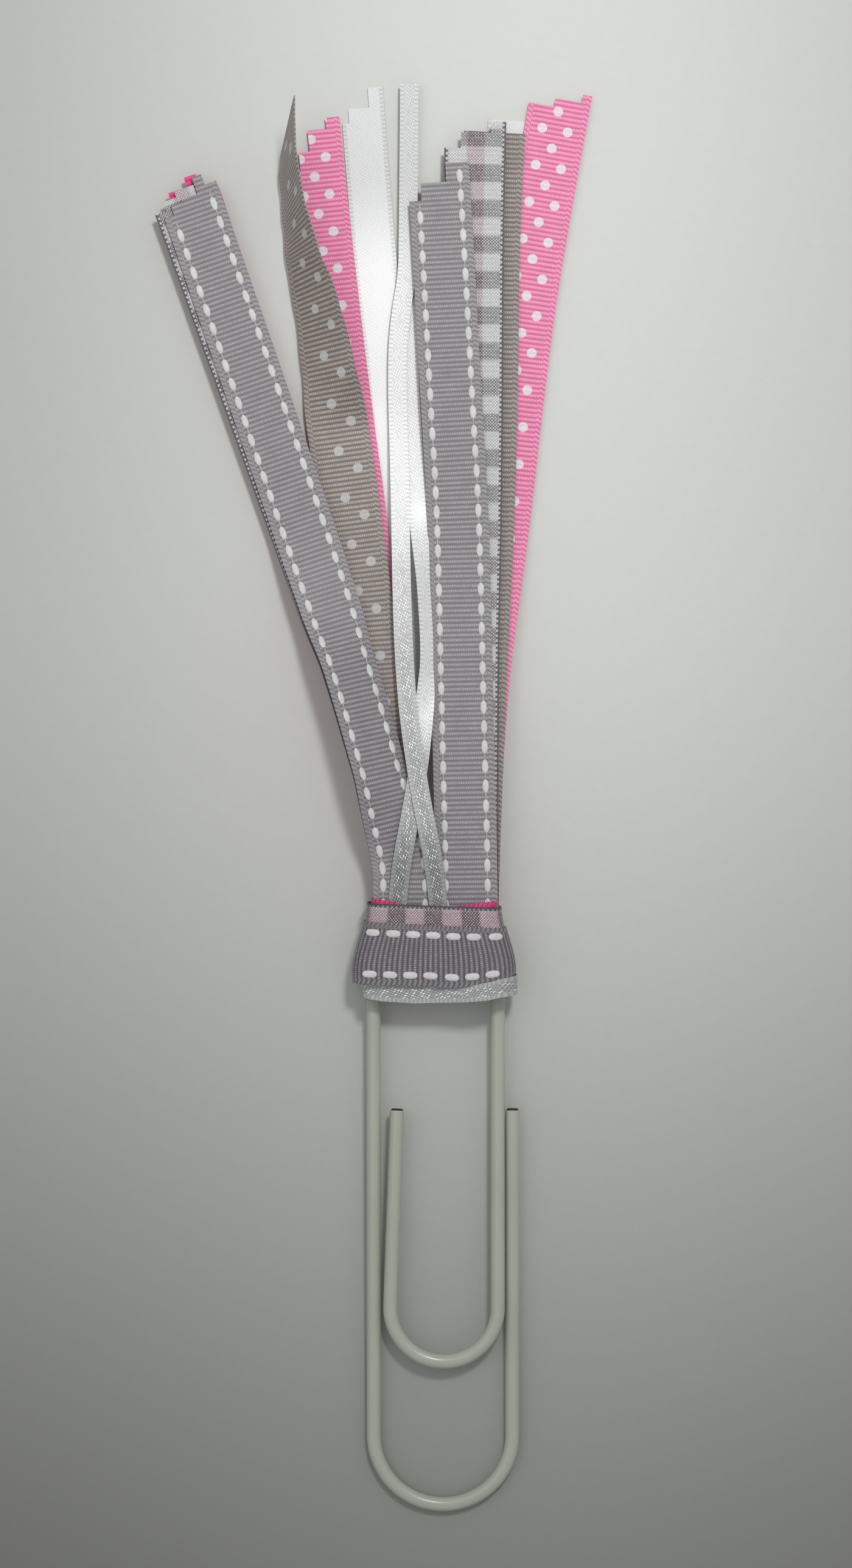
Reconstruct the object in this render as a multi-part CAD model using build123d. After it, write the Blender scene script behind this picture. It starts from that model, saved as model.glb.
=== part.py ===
"""Ribbon bookmark: a jumbo coated paper clip with seven ribbons hitched on its top bend.

Millimetres. The part lies face up: X across the clip, +Y towards the ribbon ends, +Z up.
The origin is where the edge of a held page stops: in the middle of the clip, in the plane
of the wire, at the lower edge of the ribbon hitch.
"""
import math
import os
from dataclasses import dataclass

from build123d import *

# Clip: one wire with three bends, measured on the wire's centre line where not said otherwise
WIRE_D = 2.3
COATING = 0.2
CORE_PLAY = 0.01
CLIP_LENGTH = 100.0
STOP_TO_TOP = 17.4
RIGHT_LEG_X = 9.9
WIRE_GAP = 0.1
LOOP_GAP = 0.4
INNER_BEND_R = 8.75
INNER_BEND_END_Y = -59.0
FREE_ENDS_Y = -17.0
FREE_LEG_LEAN = 2.0
FLEX_Y = -1.5
FLEX_GAP = 0.3
TONGUE_LIFT = 1.5

# Ribbons: thickness, stacking and widths
RIBBON_T = 0.28
SATIN_T = 0.18
STACK_PITCH = 0.35
SEAT = 0.1
WIDE = 10.0
SATIN_WIDE = 7.0
THIN_WIDE = 3.0

# Hitch: nested bands round the legs and the ribbon stack, narrower towards the top
BAND_LEVELS = 5
STACK_LEVELS = 8
LEG_SLACK = 0.65
TOP_SLACK = 0.1
SIDE_GAP = 0.2
BAND_CORNER_R = 1.2
BACK_OPENING = 14.0
PINK_BELOW_TOP = 0.2
BAND_GAP = 0.1

# Lie of the tails: level at the hitch, then down to the floor
NECK_START_Y = 5.0
NECK_RUN_IN = 1.0
TOP_CLEAR = 0.6
FLOOR_REACH_Y = 85.0
FLOOR_SEAT = 0.05
OUTER_FOLD_Y = 47.0
INNER_FOLD_Y = 93.0
FOLD_GAP = 0.2
LONGEST_TAIL_Y = 170.0
DROP_STATIONS = 5
EDGE_SAMPLES = 10

# Sizes that follow
wire_r = WIRE_D / 2
core_r = wire_r - COATING
clip_below_stop = CLIP_LENGTH - STOP_TO_TOP
hitch_edge_y = STOP_TO_TOP + TOP_CLEAR
left_leg_x = RIGHT_LEG_X - 2 * INNER_BEND_R - WIRE_D - LOOP_GAP
outer_leg_x = RIGHT_LEG_X + WIRE_D + WIRE_GAP
hitch_x = (left_leg_x + RIGHT_LEG_X) / 2
legs_half = (RIGHT_LEG_X - left_leg_x) / 2
tails_half = WIDE + SIDE_GAP
hitch_low_half = max(legs_half + wire_r + LEG_SLACK, tails_half)
hitch_top_half = max(legs_half + TOP_SLACK, tails_half)
left_x = hitch_x - (WIDE + SIDE_GAP) / 2
right_x = hitch_x + (WIDE + SIDE_GAP) / 2
neck_low_y = NECK_START_Y - NECK_RUN_IN
stack_base_z = wire_r + SEAT + RIBBON_T / 2
stack_top_z = stack_base_z + (STACK_LEVELS - 1) * STACK_PITCH + RIBBON_T / 2 + SEAT
band_back_z = -wire_r - SEAT
hitch_back = SEAT + (BAND_LEVELS - 1) * STACK_PITCH + RIBBON_T
floor_z = -wire_r - hitch_back
tilt = math.degrees(math.asin(hitch_back / (clip_below_stop - wire_r)))


def outer_path():
    """From the outer leg's cut end round the outer bend, up the left leg and over the top bend."""
    outer_r = (outer_leg_x - left_leg_x) / 2
    outer_c = ((outer_leg_x + left_leg_x) / 2, wire_r + outer_r - clip_below_stop)
    top_r = (RIGHT_LEG_X - left_leg_x) / 2
    top_c = (hitch_x, STOP_TO_TOP - wire_r - top_r)
    return Wire([
        Line((outer_leg_x, FREE_ENDS_Y), (outer_leg_x, outer_c[1])),
        CenterArc(outer_c, outer_r, 0, -180),
        Line((left_leg_x, outer_c[1]), (left_leg_x, top_c[1])),
        CenterArc(top_c, top_r, 180, -180),
        Line((RIGHT_LEG_X, top_c[1]), (RIGHT_LEG_X, FLEX_Y + FLEX_GAP / 2)),
    ])


def tongue_path():
    """From the flex point down the right leg, round the inner bend and up the leaning free leg."""
    centre = (RIGHT_LEG_X - INNER_BEND_R, INNER_BEND_END_Y + wire_r + INNER_BEND_R)
    lean = math.radians(FREE_LEG_LEAN)
    bend_end = (centre[0] - INNER_BEND_R * math.cos(lean), centre[1] + INNER_BEND_R * math.sin(lean))
    free_end = (bend_end[0] + (FREE_ENDS_Y - bend_end[1]) * math.tan(lean), FREE_ENDS_Y)
    return Wire([
        Line((RIGHT_LEG_X, FLEX_Y - FLEX_GAP / 2), (RIGHT_LEG_X, centre[1])),
        CenterArc(centre, INNER_BEND_R, 0, -180 - FREE_LEG_LEAN),
        Line(bend_end, free_end),
    ])


def wire_pieces(path):
    """The steel core and the coating round it, along one path."""
    start = Plane(path @ 0, z_dir=path % 0)
    core = sweep(start * Circle(core_r - CORE_PLAY), path=path)
    coating = sweep(start * (Circle(wire_r) - Circle(core_r)), path=path)
    return core, coating


def clip_nodes():
    """Both wires in the tilt at which the clip lies, with the tongue a little proud."""
    lie = Rot(X=tilt)
    proud = Pos(0, FLEX_Y, 0) * Rot(X=-TONGUE_LIFT) * Pos(0, -FLEX_Y, 0)
    frame_core, frame_coating = wire_pieces(outer_path())
    tongue_core, tongue_coating = wire_pieces(tongue_path())
    return {
        "frame_core": lie * frame_core,
        "frame_coating": lie * frame_coating,
        "tongue_core": lie * proud * tongue_core,
        "tongue_coating": lie * proud * tongue_coating,
    }


def band_section(level, thickness, y):
    """The flat loop of one band at height y: across the front, round both legs, open behind."""
    grow = level * STACK_PITCH
    half = hitch_low_half + (hitch_top_half - hitch_low_half) * y / STOP_TO_TOP
    inner_w = 2 * (half + grow)
    inner_h = stack_top_z - band_back_z + 2 * grow
    inner_r = BAND_CORNER_R + grow
    outer = RectangleRounded(inner_w + 2 * thickness, inner_h + 2 * thickness, inner_r + thickness)
    inner = RectangleRounded(inner_w, inner_h, inner_r)
    behind = Pos(0, -inner_h / 2) * Rectangle(BACK_OPENING, inner_r * 2)
    middle_z = (stack_top_z + band_back_z) / 2
    return Plane((hitch_x, y, middle_z), x_dir=(1, 0, 0), z_dir=(0, -1, 0)) * (outer - inner - behind)


def bight(band, thickness):
    """The fold of one ribbon, lying across the front of the hitch."""
    high_y = STOP_TO_TOP - band.below_top
    ends = [band_section(band.level, thickness, y) for y in (high_y - band.width, high_y)]
    return Rot(X=tilt) * loft([end.face() for end in ends], ruled=True)


def lie_z(level, y):
    """Height of the middle of a ribbon: in the hitch's plane, then down a smooth S to the floor."""
    at_hitch = stack_base_z + level * STACK_PITCH + min(y, hitch_edge_y) * math.tan(math.radians(tilt))
    on_floor = floor_z + FLOOR_SEAT + RIBBON_T / 2 + level * STACK_PITCH
    run = min(max((y - hitch_edge_y) / (FLOOR_REACH_Y - hitch_edge_y), 0), 1)
    down = run * run * (3 - 2 * run)
    return at_hitch + (on_floor - at_hitch) * down


def side_profile(level, thickness, reach_x):
    """The lie of one stack level, drawn from the side and as wide as the whole fan."""
    step = (FLOOR_REACH_Y - hitch_edge_y) / DROP_STATIONS
    stations = [neck_low_y]
    stations += [hitch_edge_y + i * step for i in range(DROP_STATIONS + 1)]
    stations += [LONGEST_TAIL_Y]
    top = [(y, lie_z(level, y) + thickness / 2) for y in stations]
    bottom = [(y, lie_z(level, y) - thickness / 2) for y in reversed(stations)]
    return extrude(Plane.YZ * make_face(Polyline(*top, *bottom, close=True)), amount=reach_x, both=True)


def pinked_end(left, right, along, steps, rise):
    """Stair steps of a pinked cut from the left corner to the right one, climbing along the ribbon."""
    points = []
    for i in range(steps):
        lift = along * (rise * i)
        points.append(left + (right - left) * (i / steps) + lift)
        points.append(left + (right - left) * ((i + 1) / steps) + lift)
    return points


def ribbon_outline(side, width):
    """The ribbon's plan: straight in the hitch, then two smooth edges and a pinked end."""
    points = [(side.neck_x, hitch_edge_y), *side.free_points]
    end_run = Vector(*points[-1]) - Vector(*points[-2])
    middle = Spline(*points, tangents=((0, 1), tuple(end_run)[:2]))
    left = []
    right = []
    for i in range(EDGE_SAMPLES + 1):
        at = middle.position_at(i / EDGE_SAMPLES)
        along = middle.tangent_at(i / EDGE_SAMPLES)
        across = Vector(along.Y, -along.X) * (width / 2)
        left.append(at - across)
        right.append(at + across)
    end = pinked_end(left[-1], right[-1], middle.tangent_at(1), side.steps, side.rise)
    if side.steps > 1:
        end.append(right[-1])
    left_start = Vector(side.neck_x - width / 2, neck_low_y)
    right_start = Vector(side.neck_x + width / 2, neck_low_y)
    return make_face([
        Line(left_start, left[0]),
        Spline(*left),
        Polyline(*end),
        Spline(*right),
        Polyline(right[0], right_start, left_start),
    ])


def between(solid, low_y, high_y):
    """The stretch of a solid between two values of Y."""
    slab = Box(4 * LONGEST_TAIL_Y, high_y - low_y, LONGEST_TAIL_Y)
    return (solid & Pos(0, (low_y + high_y) / 2, 0) * slab).solid()


def ribbon_side(side, thickness, width):
    """One half of a ribbon as its neck, from the hitch to the fold line, and its tail beyond."""
    plan = extrude(ribbon_outline(side, width), amount=LONGEST_TAIL_Y, both=True)
    whole = plan & side_profile(side.level, thickness, LONGEST_TAIL_Y)
    neck = between(whole, NECK_START_Y, side.fold_y - FOLD_GAP / 2)
    tail = between(whole, side.fold_y + FOLD_GAP / 2, LONGEST_TAIL_Y)
    return neck, tail


def twisted_tail(level, stations, heel_y):
    """A tail that turns up on its left edge: stations are (x, y, roll in degrees).

    Its end is cut on the slant, from heel_y at the low edge to the last station at the high edge.
    """
    sections = []
    for x, y, roll in stations:
        turn = math.radians(roll)
        middle = (x, y, lie_z(level, y) + WIDE / 2 * math.sin(turn))
        plane = Plane(middle, x_dir=(math.cos(turn), 0, math.sin(turn)), z_dir=(0, -1, 0))
        sections.append(plane * Rectangle(WIDE, RIBBON_T))
    tail = loft([section.face() for section in sections])
    low_z = lie_z(level, heel_y)
    end_y = stations[-1][1]
    beyond = Polyline((heel_y, low_z - WIDE), (heel_y, low_z), (end_y, low_z + WIDE),
                      (end_y + WIDE, low_z + WIDE), (end_y + WIDE, low_z - WIDE), close=True)
    return (tail - extrude(Plane.YZ * make_face(beyond), amount=LONGEST_TAIL_Y, both=True)).solid()


@dataclass
class Band:
    """Where a ribbon's fold lies across the hitch: its level from the inside, how far its upper
    edge is below the top of the clip, and how wide it lies."""

    level: int
    below_top: float
    width: float


@dataclass
class Side:
    """One half of a ribbon: its level in the stack, fold line, middle line and pinked end."""

    level: int
    fold_y: float
    neck_x: float
    free_points: list
    steps: int = 1
    rise: float = 0.0


@dataclass
class Ribbon:
    """One ribbon: its width and thickness, the fold across the hitch and its two halves."""

    width: float
    thickness: float
    band: Band
    left: Side
    right: Side


GREY = Ribbon(
    WIDE, RIBBON_T, Band(4, 3.8, 9.6),
    left=Side(
        5, OUTER_FOLD_Y, left_x,
        [(-9.4, 39), (-14.0, 55), (-22.2, 79), (-30.7, 104), (-39.5, 129.3)], 3, 1.7,
    ),
    right=Side(
        5, OUTER_FOLD_Y, right_x,
        [(4.0, 54), (3.5, 79), (2.4, 97), (0.9, 125), (0.5, 131.3)], 3, 2.7,
    ),
)
GINGHAM = Ribbon(
    WIDE, RIBBON_T, Band(3, 0.8, WIDE),
    left=Side(
        4, OUTER_FOLD_Y, left_x,
        [(-9.6, 39), (-14.3, 55), (-22.8, 79), (-31.8, 104), (-40.9, 129.5)], 3, 1.7,
    ),
    right=Side(
        4, OUTER_FOLD_Y, right_x,
        [(5.0, 54), (5.6, 79), (5.8, 104), (5.9, 127), (6.2, 139.7)], 3, 2.1,
    ),
)
DEEP_PINK = Ribbon(
    WIDE, RIBBON_T, Band(1, -0.4, WIDE),
    left=Side(
        3, OUTER_FOLD_Y, left_x,
        [(-9.4, 39), (-14.0, 55), (-22.4, 79), (-31.0, 104), (-40.0, 131)], 3, 1.7,
    ),
    right=Side(
        3, OUTER_FOLD_Y, right_x,
        [(4.4, 54), (4.2, 79), (3.2, 104), (2.6, 118)],
    ),
)
TAUPE = Ribbon(
    WIDE, RIBBON_T, Band(2, 4.0, 9.8),
    left=Side(
        2, INNER_FOLD_Y, left_x,
        [(-8.0, 33), (-11.0, 50), (-12.1, 65), (-14.0, 79), (-16.0, INNER_FOLD_Y), (-18.0, 106)],
    ),
    right=Side(
        2, OUTER_FOLD_Y, right_x,
        [(6.4, 54), (7.7, 79), (8.3, 104), (8.5, 127), (9.4, 142.3)],
    ),
)
PINK = Ribbon(
    WIDE, RIBBON_T, Band(0, PINK_BELOW_TOP, WIDE),
    left=Side(
        1, INNER_FOLD_Y, left_x,
        [(-10.6, 47), (-12.1, 65), (-13.0, 79), (-15.2, 94), (-18.6, 122), (-20.7, 139.5)], 3, 2.5,
    ),
    right=Side(
        1, OUTER_FOLD_Y, right_x,
        [(5.5, 36), (7.0, 56), (9.8, 75), (13.0, 104), (15.5, 122), (19.7, 145.1)], 3, 2.05,
    ),
)
SATIN = Ribbon(
    SATIN_WIDE, SATIN_T, Band(0, PINK_BELOW_TOP + WIDE + BAND_GAP, 5.9),
    left=Side(
        0, INNER_FOLD_Y, left_x + (WIDE - SATIN_WIDE) / 2,
        [(-3.4, 60), (-3.6, 77), (-6.0, 93), (-8.2, 108), (-10.3, 122), (-12.0, 144.7)], 3, 2.5,
    ),
    right=Side(
        0, OUTER_FOLD_Y, right_x,
        [(6.0, 54), (8.6, 104), (11.9, 144.4)],
    ),
)
THIN_SATIN = Ribbon(
    THIN_WIDE, SATIN_T, Band(2, 13.9, THIN_WIDE),
    left=Side(
        6, OUTER_FOLD_Y, left_x - THIN_WIDE / 2,
        [(-3.3, 37), (-2.6, 54), (-3.3, 84), (-4.7, 104), (-5.6, 122), (-5.7, 129)],
    ),
    right=Side(
        7, OUTER_FOLD_Y, right_x - (WIDE - THIN_WIDE / 2) / 2,
        [(-3.3, 37), (-5.5, 55), (-6.0, 84), (-6.7, 104), (-5.7, 124), (-4.5, 150.2)],
    ),
)
RIBBONS = {
    "grey": GREY,
    "gingham": GINGHAM,
    "deep_pink": DEEP_PINK,
    "taupe": TAUPE,
    "pink": PINK,
    "satin": SATIN,
    "thin_satin": THIN_SATIN,
}

# The taupe ribbon's left tail twists up on edge instead of lying flat
TAUPE_TWIST = [
    (-16.0, INNER_FOLD_Y + FOLD_GAP / 2, 0.0),
    (-17.7, 104.2, 32.0),
    (-19.5, 114.0, 45.0),
    (-22.0, 122.0, 57.0),
    (-23.5, 130.7, 67.0),
    (-24.0, 139.0, 73.0),
    (-23.8, 146.6, 76.0),
]
TAUPE_HEEL_Y = 138.0


def ribbon_nodes():
    """Bight, necks and tails of every ribbon."""
    nodes = {}
    for name, ribbon in RIBBONS.items():
        nodes[f"{name}_bight"] = bight(ribbon.band, ribbon.thickness)
        for place, side in (("left", ribbon.left), ("right", ribbon.right)):
            neck, tail = ribbon_side(side, ribbon.thickness, ribbon.width)
            nodes[f"{name}_neck_{place}"] = neck
            nodes[f"{name}_tail_{place}"] = tail
    nodes["taupe_tail_left"] = twisted_tail(TAUPE.left.level, TAUPE_TWIST, TAUPE_HEEL_Y)
    return nodes


def main():
    os.makedirs("parts", exist_ok=True)
    for name, shape in {**clip_nodes(), **ribbon_nodes()}.items():
        export_step(shape, f"parts/{name}.step")
    print(f"clip tilt {tilt:.3f} deg, floor at {floor_z:.3f} mm")


main()
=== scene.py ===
"""Looks of the ribbon bookmark: a coated paper clip with seven ribbons hitched on its top bend.

Sizes and places are in millimetres in the part's own frame, and MM turns them into metres where a
mesh is made. X runs across the clip, +Y towards the ribbon ends, +Z up.
"""
import math
from dataclasses import dataclass, field

import bpy
import numpy as np
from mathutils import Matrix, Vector


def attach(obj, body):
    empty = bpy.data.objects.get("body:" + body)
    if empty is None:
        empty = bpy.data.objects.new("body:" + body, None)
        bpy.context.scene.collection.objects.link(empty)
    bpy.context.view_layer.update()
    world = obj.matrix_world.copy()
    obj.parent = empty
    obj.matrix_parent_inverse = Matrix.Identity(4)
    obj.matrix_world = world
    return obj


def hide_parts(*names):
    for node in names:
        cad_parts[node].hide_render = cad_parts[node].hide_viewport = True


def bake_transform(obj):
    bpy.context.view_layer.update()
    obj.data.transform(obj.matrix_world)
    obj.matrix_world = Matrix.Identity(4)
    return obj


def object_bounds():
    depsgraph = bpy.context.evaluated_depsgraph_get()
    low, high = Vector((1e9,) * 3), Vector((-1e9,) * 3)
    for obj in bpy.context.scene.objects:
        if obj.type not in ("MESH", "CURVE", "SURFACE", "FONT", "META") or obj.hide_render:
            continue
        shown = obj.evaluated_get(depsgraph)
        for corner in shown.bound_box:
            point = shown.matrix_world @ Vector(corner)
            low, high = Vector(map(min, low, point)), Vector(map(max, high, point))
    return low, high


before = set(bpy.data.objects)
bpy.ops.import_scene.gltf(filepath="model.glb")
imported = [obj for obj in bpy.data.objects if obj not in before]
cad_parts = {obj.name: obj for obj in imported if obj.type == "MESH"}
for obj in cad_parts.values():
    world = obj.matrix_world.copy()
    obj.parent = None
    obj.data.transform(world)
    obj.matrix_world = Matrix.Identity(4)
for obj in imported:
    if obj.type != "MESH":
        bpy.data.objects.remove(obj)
cad_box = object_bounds()

MM = 0.001
FLOOR_Z = cad_box[0].z / MM

# Clip
WIRE_R = 1.15
RIGHT_LEG_X = 9.9
OUTER_LEG_X = 12.3
INNER_BEND_R = 8.75
INNER_BEND_END_Y = -59.0
FREE_ENDS_Y = -17.0
FREE_LEG_LEAN = math.radians(2.0)
FLEX_Y = -1.5
TONGUE_LIFT = math.radians(1.5)
TONGUE_SKIN = 0.015
TONGUE_TOP_Y = 3.0
TIP_R = 0.95
TIP_LENGTH = 0.25
TIP_BLUNT = 20
LEG_POINTS = 60
BEND_POINTS = 48
FREE_POINTS = 40
LIE_TILT = math.radians(1.252)

# Ribbons
RIBBON_T = 0.28
SATIN_T = 0.18
WIDE = 10.0
SATIN_WIDE = 7.0
THIN_WIDE = 3.0
STACK_PITCH = 0.35
STACK_BASE_Z = 1.39
LAYER_AIR = 0.22
NECK_START_Y = 5.0
HITCH_EDGE_Y = 18.0
STRAIGHT_Y = 24.0
FLOOR_REACH_Y = 85.0
FLOOR_SEAT = 0.05
OUTER_FOLD_Y = 47.0
INNER_FOLD_Y = 93.0
LEFT_X = -5.3
RIGHT_X = 4.9
NARROW = {"satin": SATIN_WIDE, "thin_satin": THIN_WIDE}
SLANT_RUN = 3
ROUTE_RESOLUTION = 24

# Grids of cloth
COLUMNS = 12
THIN_COLUMNS = 3
COLUMN_GAP = 0.2
EDGE_PLACES = (0.0, 0.2, 0.5)
SHARP_ANGLE = math.radians(50)
TINY = 1e-6
UP = (0.0, 0.0, 1.0)

# Hitch
HITCH_X = -0.45
HITCH_TOP_Y = 17.4
HITCH_LOW_HALF = 11.6
HITCH_TOP_HALF = 9.6
TAPER_FROM = 6.0
TAPER_RUN = 10.0
LOW_LEFT_IN = 0.6
LOW_IN_FROM = 2.5
LOW_IN_RUN = 1.5
BAND_FRONT_Z = 4.08
BAND_BACK_Z = -1.25
BAND_CORNER_R = 1.2
BAND_CROWN = 0.35
BACK_HALF_OPENING = 7.0
FRONT_FACING = 0.45
FLAP_LEVEL = 4.9
FLAP_RUN = 8.0
FLAP_HOLD = 14.0
FLAP_FADE = 5.0
FLAP_X = 10.5
TURN_REACH = 6.0
TURN_REACH_PER_LEVEL = 1.4
TURN_RISE = 8.0
TURN_ROWS = 24
TURN_UNDER = 0.12
SECTION_LEVELS = 40
FEWEST_POINTS = 3

# Weave
RIB_PITCH = 0.8
RIB_HEIGHT = 0.11
ROWS_PER_RIB = 4
SELVEDGE = 0.85
SELVEDGE_RIB = 0.3
SELVEDGE_SPARK = 0.4
THREAD_PITCH = 0.36
THREAD_LEAN = 0.3
KNOT_LIGHT = 0.2
DASH_ACROSS = (0.3, 0.8)
DASH_ALONG = (0.45, 0.95)
FLECK_LOW = 0.35
GROOVE_RISE = 0.7
WANDER_LOW = 0.88
WANDER_SPAN = 0.24
INK_LOW = 0.92
INK_SPAN = 0.1
DOT_R = 0.8
DOT_BLUR = 0.1
CHECK = 2.9
CHECK_SHIFT = -2.25
CHECK_BLUR = 0.3
FOLD_CHECK = 3.21
FOLD_CHECK_SHIFT = 0.8
CHECK_LATTICE = 0.5
# Painted glints on the gingham's thread knots and painted shade between them.
GRID_SHINE = (0.3, 0.75)
GRID_FLECK = (0.6, 0.3)
GRID_SHADE = (0.0, 0.3, 0.86, 1.0)
RIM_DASH = (0.3, 0.7)
RIM_OUTER = (0.2, 0.35)
CHECK_RIM = (0.65, 0.5)
FLOAT_WIDE = 0.28
FLOAT_LONG = 0.7
FLOAT_LEAN = 0.3
FLOAT_STEP = 0.37
BULGE_ACROSS = (0.1, 0.7)
BULGE_ALONG = (0.05, 0.5)
CATCH_SPAN = 0.4
CATCH_LOW = 0.3
# Painted light and shade on the satin: where along it the painted light rises, how dark it is where
# unlit, and how it dims towards the cut end.
NEAR_RUN = (16.0, 26.0)
NEAR_LIT = 0.25
PAINTED_LIGHT_RUN = (40.0, 85.0)
LIT_RUN = (32.0, 46.0)
PAINTED_SHADE_LEVEL = 0.17
PAINTED_SHADE_SHARE = 0.6
END_SHADE_RUN = (112.0, 132.0)
END_SHADE_LEVEL = 0.63
FOLD_LIT = 0.2
SATIN_RIM = 0.65
RIM_LIT = 0.25
RIM_BLUR = 0.15
SATIN_ROW = 0.8
WEAVE_UV = "weave"

# Depth of the finest relief, in metres
THREAD_BUMP = 0.00006
FLOAT_BUMP = 0.00004
YARN_BUMP = 0.00008
PEEL_BUMP = 0.0001

# Fineness of the mottling, as noise scales
WANDER_SCALE = 0.35
YARN_TINT_SCALE = 900.0
YARN_FUZZ_SCALE = 2600.0
VINYL_TINT_SCALE = 60.0
VINYL_GLOSS_SCALE = 220.0
PEEL_SCALE = 420.0
STEEL_TINT_SCALE = 1500.0
STEEL_GLOSS_SCALE = 900.0
PAPER_GRAIN_SCALE = 700.0

# Sockets of a mix node that carry colours
MIX_A = 6
MIX_B = 7
MIX_OUT = 2

# Saddle stitches
STITCH_PITCH = 3.2
STITCH = (2.25, 1.12, 0.4)
STITCH_ROWS = (1.6, 8.4)
THREAD = (1.5, 0.3, 0.14)
BAND_STITCH = (2.4, 1.2, 0.46)
BAND_STITCH_ROWS = (2.0, 8.15)
BAND_STITCH_PITCHES = (3.55, 3.15)
BAND_STITCH_SHIFTS = (-0.25, -0.6)
ROUND_END = 2.0
BLUNT_END = 3.4

# View, in millimetres
VIEW_CENTRE = (-1.78, 36.04)
VIEW_HEIGHT = 255.05
LENS = 85.0
SENSOR = 36.0

# Floor and light, in metres. A lamp has a name, a place, an aim, a size, a spread and a power.
FLOOR_HALF = 1.5
NEAREST_SEEN = 0.01
# Painted falloff of the light on the paper: where it darkens towards the near end and the sides, and how
# far.
PAPER_FAR = (-0.14, 0.075)
PAPER_LEFT = (-0.1, 0.015)
PAPER_LEFT_SHADE = 0.7
PAPER_RIGHT = (0.02, 0.1)
PAPER_RIGHT_SHADE = 0.82
LAMPS = [
    ("key", (0.13, 0.36, 0.62), (0.0, 0.14, 0.0), 0.1, math.radians(64), 0.3),
    ("fill", (-0.3, 0.15, 0.6), (0.0, 0.0, 0.0), 0.5, math.pi, 0.5),
]
SKY = (0.95, 0.97, 1.0, 1.0)
SKY_STRENGTH = 0.46


def smooth(t):
    """Smooth step of a value from 0 to 1."""
    t = np.clip(t, 0.0, 1.0)
    return t * t * (3 - 2 * t)


def unit(vectors):
    """Vectors of length one."""
    return vectors / np.linalg.norm(vectors, axis=-1, keepdims=True)


def distances(points):
    """How far along a line each of its points is."""
    return np.concatenate([[0.0], np.cumsum(np.linalg.norm(np.diff(points, axis=0), axis=1))])


def link(made):
    bpy.context.scene.collection.objects.link(made)


def lie_z(level, y):
    """Height of the middle of a ribbon: in the hitch's plane, then down a smooth S to the floor."""
    y = np.asarray(y, float)
    at_hitch = STACK_BASE_Z + level * STACK_PITCH + np.minimum(y, HITCH_EDGE_Y) * math.tan(LIE_TILT)
    on_floor = FLOOR_Z + FLOOR_SEAT + RIBBON_T / 2 + level * (STACK_PITCH + LAYER_AIR)
    run = (y - HITCH_EDGE_Y) / (FLOOR_REACH_Y - HITCH_EDGE_Y)
    return at_hitch + (on_floor - at_hitch) * smooth(run)


def tilted(points):
    """Points of the clip's own plane, turned to how the clip lies."""
    y = points[..., 1] * math.cos(LIE_TILT) - points[..., 2] * math.sin(LIE_TILT)
    z = points[..., 1] * math.sin(LIE_TILT) + points[..., 2] * math.cos(LIE_TILT)
    return np.stack([points[..., 0], y, z], axis=-1)


# Colours and shaders


def srgb(code):
    """A written colour such as 8A868B as the linear values that shaders take."""
    parts = [int(code[i:i + 2], 16) / 255 for i in (0, 2, 4)]
    linear = [c / 12.92 if c <= 0.04045 else ((c + 0.055) / 1.055) ** 2.4 for c in parts]
    return (*linear, 1.0)


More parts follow.
